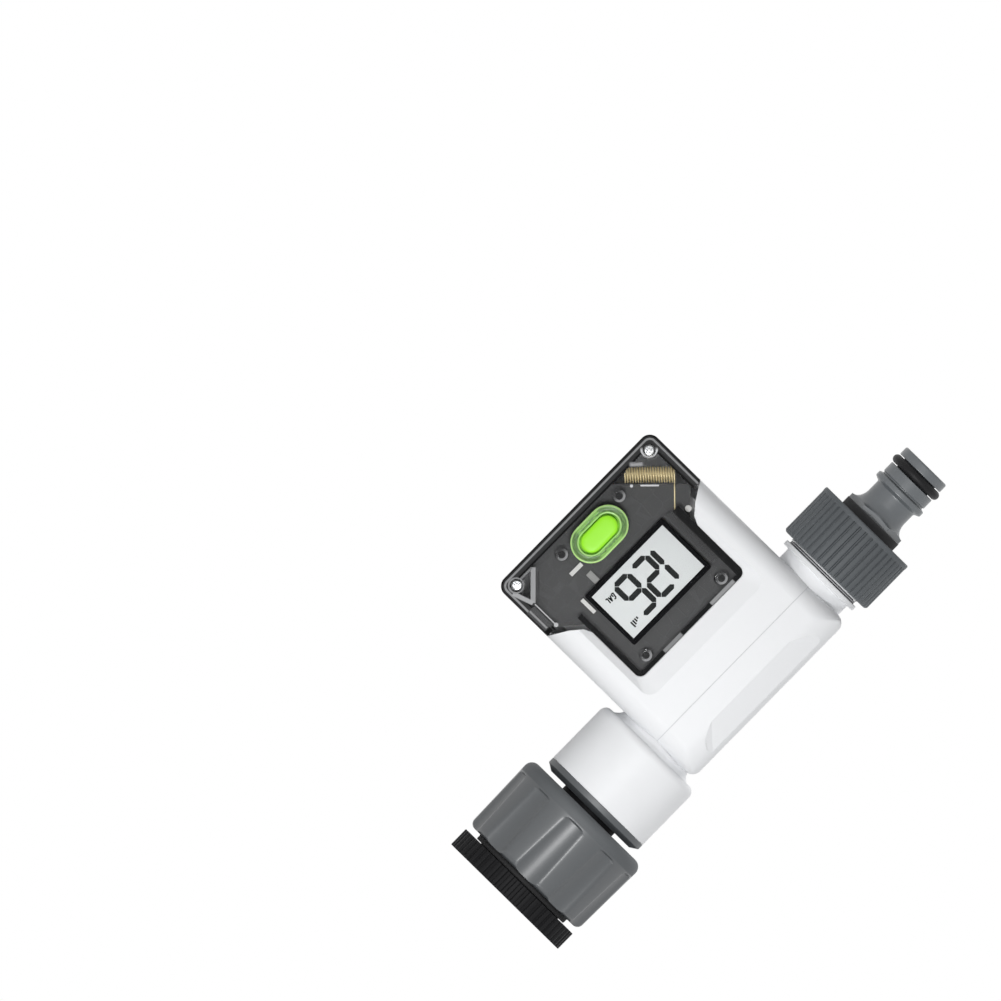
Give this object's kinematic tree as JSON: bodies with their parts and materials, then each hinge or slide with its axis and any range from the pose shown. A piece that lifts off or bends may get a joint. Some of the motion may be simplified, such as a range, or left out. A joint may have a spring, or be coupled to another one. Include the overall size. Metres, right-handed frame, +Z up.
{
  "type": "hose flow meter",
  "caption": "Battery-powered hose flow meter: tap adapter and swivel nut in, push-on hose nipple out, with a turbine, a display and a button behind a clear cover.",
  "frame": {"origin": "centre of the tap thread's mouth, on the flow axis", "axes": "+X out of the inlet towards the tap, along the flow axis; +Z up towards the pipe side, so that the display reads upright; the display faces -Y"},
  "size_m": [0.1774, 0.0456, 0.0884],
  "materials": {
    "white_plastic": "semi-gloss white ABS moulding",
    "grey_plastic": "satin dark grey moulding with a fine spark texture",
    "black_plastic": "satin black moulding",
    "rubber_seal": "matte black rubber",
    "clear_cover": "clear polycarbonate with a slight smoke tint",
    "board": "dark grey solder mask",
    "chip_black": "moulded chip case",
    "light_parts": "pale ceramic and plastic chips",
    "steel": "bright stainless steel",
    "tin": "tinned sheet steel",
    "antenna_gold": "gold-coloured plated wire",
    "lcd": "reflective liquid-crystal display glass with dark segments",
    "strip_pink": "conductive silicone strip",
    "key_green": "lime-green moulded key",
    "ring_green": "translucent green silicone",
    "magnet": "bonded ferrite",
    "rotor_white": "natural acetal",
    "cell_can": "plain printed can",
    "lead_red": "insulated wire"
  },
  "bodies": {
    "housing": {"main_housing": "white_plastic", "pipe_cover": "white_plastic", "display_cover": "clear_cover", "cover_screws": "steel", "circuit_board": "board", "board_screws": "steel", "radio_module": "tin", "processor_chip": "chip_black", "board_components": "light_parts", "lcd_bezel": "black_plastic", "lcd_panel": "lcd", "lcd_contact_strips": "strip_pink", "button_ring": "ring_green", "tact_switch": "chip_black", "antenna_coil": "antenna_gold", "hall_sensor": "chip_black", "sensor_leads": "lead_red", "battery_1": "cell_can", "battery_2": "cell_can", "battery_springs": "steel", "battery_contacts": "tin", "battery_leads": "lead_red", "flow_tube": "white_plastic", "thread_ring": "rubber_seal", "flow_straightener": "grey_plastic", "front_bush": "steel", "rear_bearing_holder": "grey_plastic", "rear_bush": "steel", "inlet_cap": "grey_plastic", "cap_o_ring": "rubber_seal", "inlet_tailpiece": "black_plastic", "tail_o_ring": "rubber_seal", "tail_clip": "steel", "nut_washer": "rubber_seal"},
    "turbine": {"rotor": "rotor_white", "rotor_shaft": "steel", "rotor_magnet": "magnet"},
    "swivel_nut": {"inlet_nut": "grey_plastic"},
    "tap_seal": {"tap_washer": "rubber_seal", "filter_screen": "steel"},
    "tap_adapter": {"thread_adapter": "black_plastic"},
    "hose_nipple": {"outlet_nipple": "grey_plastic", "nipple_o_ring": "rubber_seal", "outlet_washer": "rubber_seal"},
    "hose_nut": {"outlet_nut": "grey_plastic"},
    "button": {"button_key": "key_green", "switch_plunger": "light_parts"},
    "battery_hatch": {"battery_door": "white_plastic", "door_seal": "rubber_seal", "door_screws": "steel"}
  },
  "joints": [
    {"name": "rotor_spin", "type": "hinge", "parent": "housing", "child": "turbine", "pos_m": [-0.079, 0, 0], "axis": [1, 0, 0], "continuous": true},
    {"name": "inlet_nut_spin", "type": "hinge", "parent": "housing", "child": "swivel_nut", "pos_m": [-0.02, 0, 0], "axis": [1, 0, 0], "continuous": true},
    {"name": "adapter_travel", "type": "slide", "parent": "swivel_nut", "child": "tap_seal", "axis": [1, 0, 0], "range_m": [0, 0.0127]},
    {"name": "adapter_turn", "type": "hinge", "parent": "tap_seal", "child": "tap_adapter", "pos_m": [0, 0, 0], "axis": [1, 0, 0], "range_deg": [0, 1980]},
    {"name": "outlet_travel", "type": "slide", "parent": "housing", "child": "hose_nipple", "axis": [-1, 0, 0], "range_m": [0, 0.00907]},
    {"name": "outlet_nut_turn", "type": "hinge", "parent": "hose_nipple", "child": "hose_nut", "pos_m": [-0.1435, 0, 0], "axis": [-1, 0, 0], "range_deg": [0, 1800]},
    {"name": "button_press", "type": "slide", "parent": "housing", "child": "button", "axis": [0, 1, 0], "range_m": [0, 0.0006], "stiffness_N_per_m": 1500, "springref_m": -0.0003},
    {"name": "battery_door_lift", "type": "slide", "parent": "housing", "child": "battery_hatch", "axis": [0, 1, 0], "range_m": [0, 0.02]}
  ],
  "couplings": [
    {"joint": "adapter_travel", "follows": "adapter_turn", "m_per_rad": 0.0003675},
    {"joint": "outlet_travel", "follows": "outlet_nut_turn", "m_per_rad": 0.0002887}
  ]
}
